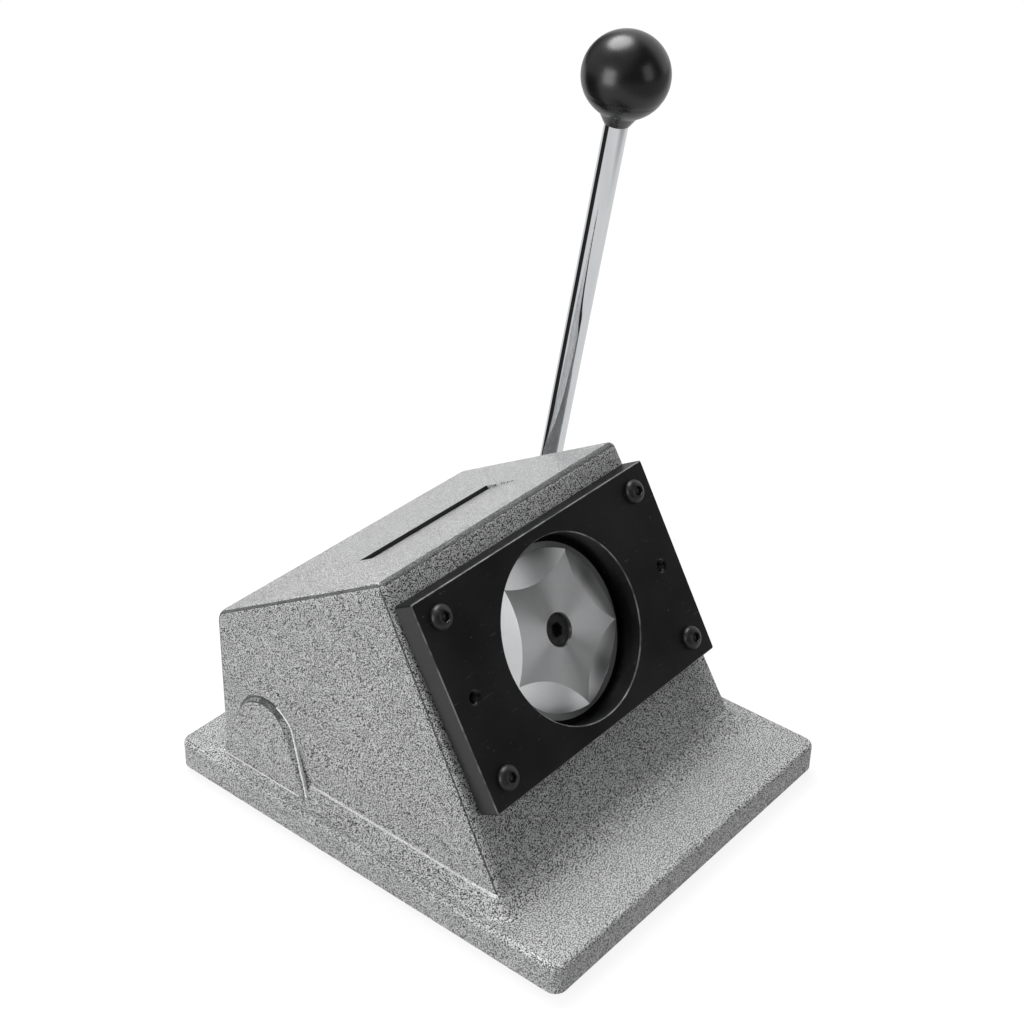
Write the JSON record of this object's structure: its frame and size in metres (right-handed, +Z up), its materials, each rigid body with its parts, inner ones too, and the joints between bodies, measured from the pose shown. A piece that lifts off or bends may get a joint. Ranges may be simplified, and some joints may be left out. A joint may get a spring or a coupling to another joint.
{
  "type": "circle paper cutter",
  "caption": "Hand lever cutter for paper circles: a sloped cast body with a round punch, a black die plate, a paper slot on top and a ball-topped lever.",
  "frame": {"origin": "centre of the underside of the base flange, on the bottom cover's outer face; the rubber feet reach 2.5 mm lower", "axes": "+X to the right, towards the lever, seen from the front; +Y to the back; +Z up"},
  "size_m": [0.2115, 0.218, 0.3163],
  "materials": {
    "hammertone": "hammertone",
    "black_plate": "satin",
    "black_oxide": "satin",
    "hardened_steel": "ground",
    "machined_steel": "machined",
    "bronze": "satin",
    "chrome": "polished",
    "black_phenolic": "gloss",
    "sheet_steel": "satin",
    "foot_rubber": "matt"
  },
  "bodies": {
    "frame": {"body_casting": "hammertone", "base_flange": "hammertone", "die_plate": "black_plate", "plate_screws": "black_oxide", "die_sleeve": "hardened_steel", "guide_sleeve": "hardened_steel", "sleeve_screws": "black_oxide", "paper_stop": "machined_steel", "shaft_bush_left": "bronze", "shaft_bush_right": "bronze", "bottom_cover": "sheet_steel", "cover_screws": "black_oxide", "rubber_feet": "foot_rubber", "foot_screws": "black_oxide"},
    "lever": {"pivot_shaft": "machined_steel", "crank_web_left": "machined_steel", "crank_web_right": "machined_steel", "crank_keys": "machined_steel", "crank_pin": "machined_steel", "lever_hub": "machined_steel", "hub_screw": "black_oxide", "hub_washer": "machined_steel", "hub_end_screw": "black_oxide", "lever_rod": "chrome", "rod_nut": "chrome", "ball_knob": "black_phenolic", "knob_insert": "bronze"},
    "link": {"link": "machined_steel", "link_bushes": "bronze"},
    "ram": {"ram": "machined_steel", "wrist_pin": "machined_steel", "wrist_pin_clips": "black_oxide", "punch_head": "hardened_steel", "punch_screw": "black_oxide"}
  },
  "joints": [
    {"name": "lever_swing", "type": "hinge", "parent": "frame", "child": "lever", "pos_m": [0, 0.06293, 0.03471], "axis": [-1, 0, 0], "range_deg": [0, 71.5]},
    {"name": "link_swing", "type": "hinge", "parent": "lever", "child": "link", "pos_m": [0, 0.03143, 0.05595], "axis": [-1, 0, 0], "range_deg": [-143, 0]},
    {"name": "ram_travel", "type": "hinge", "parent": "link", "child": "ram", "pos_m": [0, -0.00271, 0.07261], "axis": [-1, 0, 0], "range_deg": [0, 71.5]}
  ],
  "couplings": [
    {"joint": "link_swing", "follows": "lever_swing", "ratio": -2},
    {"joint": "ram_travel", "follows": "lever_swing", "ratio": 1}
  ]
}
